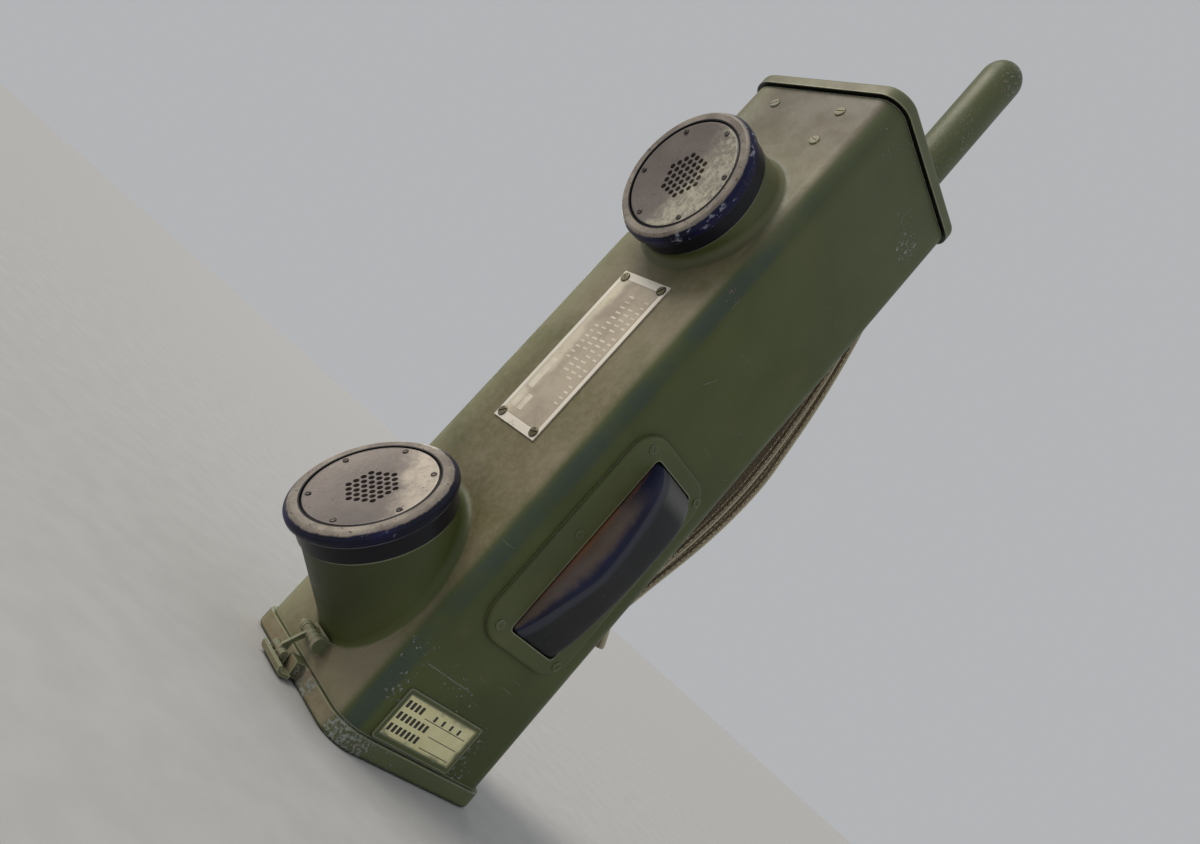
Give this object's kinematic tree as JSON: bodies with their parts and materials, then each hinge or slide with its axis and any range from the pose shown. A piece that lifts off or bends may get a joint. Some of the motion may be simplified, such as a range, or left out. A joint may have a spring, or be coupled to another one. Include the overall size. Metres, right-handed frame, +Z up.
{
  "type": "walkie talkie",
  "caption": "Hand-held two-way field radio: tall metal case, round ear and mouth caps on the front, side talk lever, hand strap, hinged battery lid, capped telescopic aerial.",
  "frame": {"origin": "middle of the flat underside of the battery lid, on the case's centre lines", "axes": "+Z up the case towards the aerial, -Y out of the front with the ear and mouth caps, +X out of the side with the talk lever, +Y to the hand strap; metres"},
  "size_m": [0.1056, 0.1814, 0.448],
  "materials": {
    "case_paint": "satin olive drab enamel, worn",
    "cover_paint": "satin olive drab enamel, worn",
    "lid_paint": "satin olive drab enamel, chipped",
    "gasket_rubber": "matte",
    "cap_bakelite": "semi-matte moulded",
    "face_paint": "worn grey-tan paint",
    "small_screws": "dull",
    "painted_screws": "olive paint over steel",
    "capsules": "dull spun",
    "nameplate": "satin, worn",
    "label_frame": "satin olive",
    "label_card": "yellowed card",
    "talk_plate": "satin olive",
    "steel": "zinc-dull",
    "boot_rubber": "matte, dusty",
    "moulding": "brown moulded",
    "brass": "dull",
    "fittings": "olive paint over steel, chipped",
    "aerial_tube": "nickelled brass, dull",
    "aerial_guide": "phenolic tube",
    "aerial_cap": "satin olive",
    "webbing": "coarse woven cotton",
    "tube_glass": "clear, silvered top",
    "cans": "satin",
    "coil": "wax-dipped winding",
    "iron": "varnished laminations",
    "battery_card": "waxed card"
  },
  "bodies": {
    "case": {"case_shell": "case_paint", "top_cover": "cover_paint", "top_gasket": "gasket_rubber", "mouth_gasket": "gasket_rubber", "ear_gasket": "gasket_rubber", "mouth_ring": "cap_bakelite", "ear_ring": "cap_bakelite", "mouth_face": "face_paint", "ear_face": "face_paint", "mouth_face_screws": "small_screws", "ear_face_screws": "small_screws", "nameplate_screws": "small_screws", "cover_screws": "painted_screws", "talk_plate_screws": "painted_screws", "strap_bracket_screws": "painted_screws", "microphone_capsule": "capsules", "earphone_capsule": "capsules", "nameplate": "nameplate", "card_frame": "label_frame", "card": "label_card", "talk_plate": "talk_plate", "talk_bracket": "steel", "talk_pivot_pin": "steel", "talk_spring": "steel", "lid_hinge_pin": "steel", "latch_pin": "steel", "chassis_frame": "steel", "talk_switch": "moulding", "aerial_collar": "moulding", "tube_sockets": "moulding", "crystal_holders": "moulding", "lid_hinge_leaf": "fittings", "latch_bracket": "fittings", "strap_bracket_upper": "fittings", "strap_bracket_lower": "fittings", "aerial_guide": "aerial_guide", "strap_inner": "webbing", "strap_outer": "webbing", "strap_tail": "webbing", "vacuum_tubes": "tube_glass", "tuning_cans": "cans", "tank_coil": "coil", "audio_transformer": "iron", "high_voltage_battery": "battery_card", "filament_battery": "battery_card"},
    "lid": {"battery_lid": "lid_paint", "lid_gasket": "gasket_rubber", "lid_contact_springs": "brass"},
    "latch_link": {"latch_link": "fittings", "latch_eye_pin": "steel"},
    "latch_lever": {"latch_lever": "fittings"},
    "talk": {"talk_lever": "steel", "talk_boot": "boot_rubber"},
    "plunger": {"talk_plunger": "steel"},
    "aerial_1": {"aerial_section_1": "aerial_tube"},
    "aerial_2": {"aerial_section_2": "aerial_tube"},
    "aerial_3": {"aerial_section_3": "aerial_tube"},
    "aerial_tip": {"aerial_section_4": "aerial_tube", "aerial_cap": "aerial_cap"}
  },
  "joints": [
    {"name": "lid_hinge", "type": "hinge", "parent": "case", "child": "lid", "pos_m": [0, 0.049, 0.0085], "axis": [1, 0, 0], "range_deg": [0, 95]},
    {"name": "latch_link_hinge", "type": "hinge", "parent": "case", "child": "latch_link", "pos_m": [0, -0.0478, 0.0174], "axis": [-1, 0, 0], "range_deg": [0, 86]},
    {"name": "latch_lever_hinge", "type": "hinge", "parent": "latch_link", "child": "latch_lever", "pos_m": [0, -0.0531, 0.0056], "axis": [-1, 0, 0], "range_deg": [0, 60]},
    {"name": "talk_lever_hinge", "type": "hinge", "parent": "case", "child": "talk", "pos_m": [0.037, 0.003, 0.078], "axis": [0, -1, 0], "range_deg": [0, 4.5], "stiffness_Nm_per_rad": 6, "springref_deg": -8.59, "deforming": ["talk_spring"]},
    {"name": "talk_plunger_slide", "type": "slide", "parent": "case", "child": "plunger", "axis": [-1, 0, 0], "range_m": [0, 0.0055]},
    {"name": "aerial_slide_1", "type": "slide", "parent": "case", "child": "aerial_1", "axis": [0, 0, 1], "range_m": [0, 0.16]},
    {"name": "aerial_slide_2", "type": "slide", "parent": "aerial_1", "child": "aerial_2", "axis": [0, 0, 1], "range_m": [0, 0.16]},
    {"name": "aerial_slide_3", "type": "slide", "parent": "aerial_2", "child": "aerial_3", "axis": [0, 0, 1], "range_m": [0, 0.16]},
    {"name": "aerial_slide_tip", "type": "slide", "parent": "aerial_3", "child": "aerial_tip", "axis": [0, 0, 1], "range_m": [0, 0.16]}
  ],
  "couplings": [
    {"joint": "latch_link_hinge", "follows": "lid_hinge", "ratio": 0.9},
    {"joint": "talk_plunger_slide", "follows": "talk_lever_hinge", "m_per_rad": 0.062},
    {"joint": "aerial_slide_2", "follows": "aerial_slide_1", "ratio": 1},
    {"joint": "aerial_slide_3", "follows": "aerial_slide_1", "ratio": 1},
    {"joint": "aerial_slide_tip", "follows": "aerial_slide_1", "ratio": 1}
  ]
}
